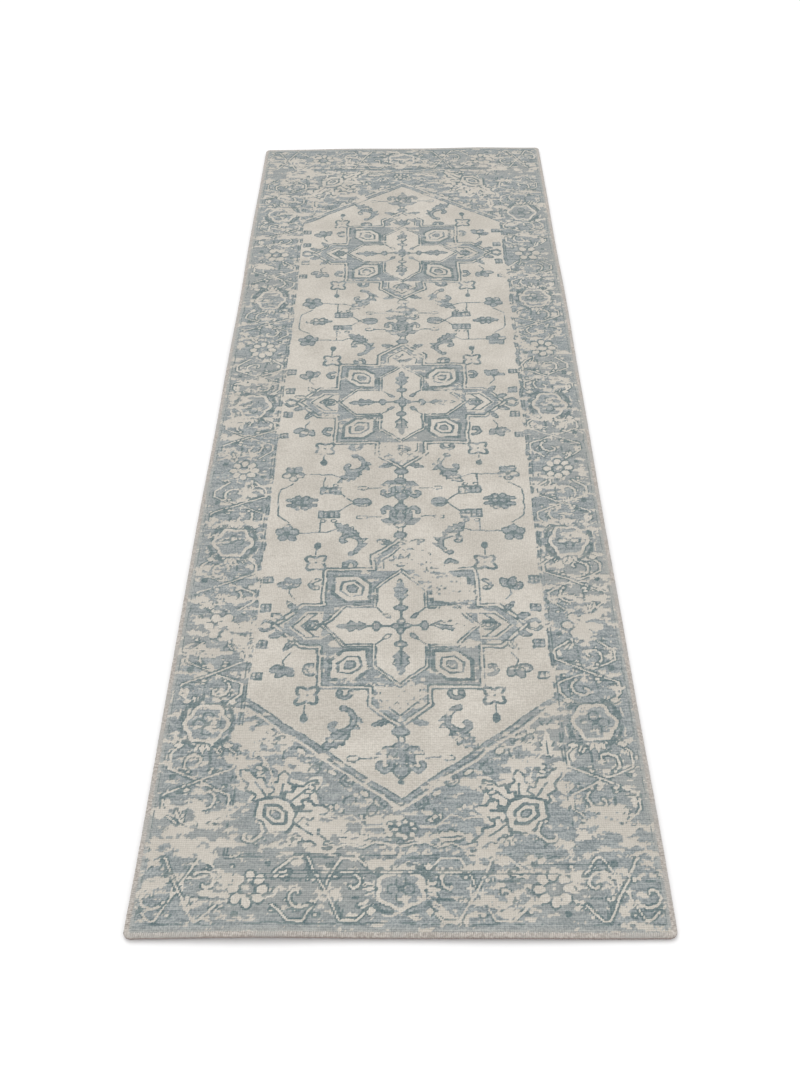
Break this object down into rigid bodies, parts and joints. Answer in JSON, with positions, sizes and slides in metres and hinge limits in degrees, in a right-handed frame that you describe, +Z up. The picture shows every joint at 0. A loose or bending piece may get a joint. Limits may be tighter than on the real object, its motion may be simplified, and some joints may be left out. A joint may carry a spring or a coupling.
{
  "type": "runner rug",
  "caption": "Long, narrow woven pile rug with a distressed pattern of stepped medallions in a wide border, with overcast edges and a cloth back.",
  "frame": {"origin": "centre of the underside, on the floor", "axes": "+Z up out of the pile, +Y along the rug from the near end to the far end, +X across it to the right"},
  "size_m": [0.8, 2.5, 0.009],
  "materials": {
    "backing_cotton": "plain-woven natural cotton cloth",
    "latex": "matte latex coat",
    "weft_cotton": "unbleached cotton yarn",
    "warp_cotton": "plied unbleached cotton yarn",
    "pile_cream": "low sheared wool pile, cream",
    "pile_grey": "low sheared wool pile, soft grey",
    "pile_slate": "low sheared wool pile, dark slate blue",
    "edge_cord": "twisted cotton filler cord",
    "overcast_yarn": "wool overcasting yarn"
  },
  "bodies": {
    "root": {"backing_cloth": "backing_cotton", "latex_coat": "latex", "lower_wefts": "weft_cotton", "warps": "warp_cotton", "upper_wefts": "weft_cotton", "pile": "pile_cream", "edge_cord_left": "edge_cord", "edge_cord_right": "edge_cord", "edge_cord_near": "edge_cord", "edge_cord_far": "edge_cord", "overcast_left": "overcast_yarn", "overcast_right": "overcast_yarn", "overcast_near": "overcast_yarn", "overcast_far": "overcast_yarn"}
  },
  "joints": []
}
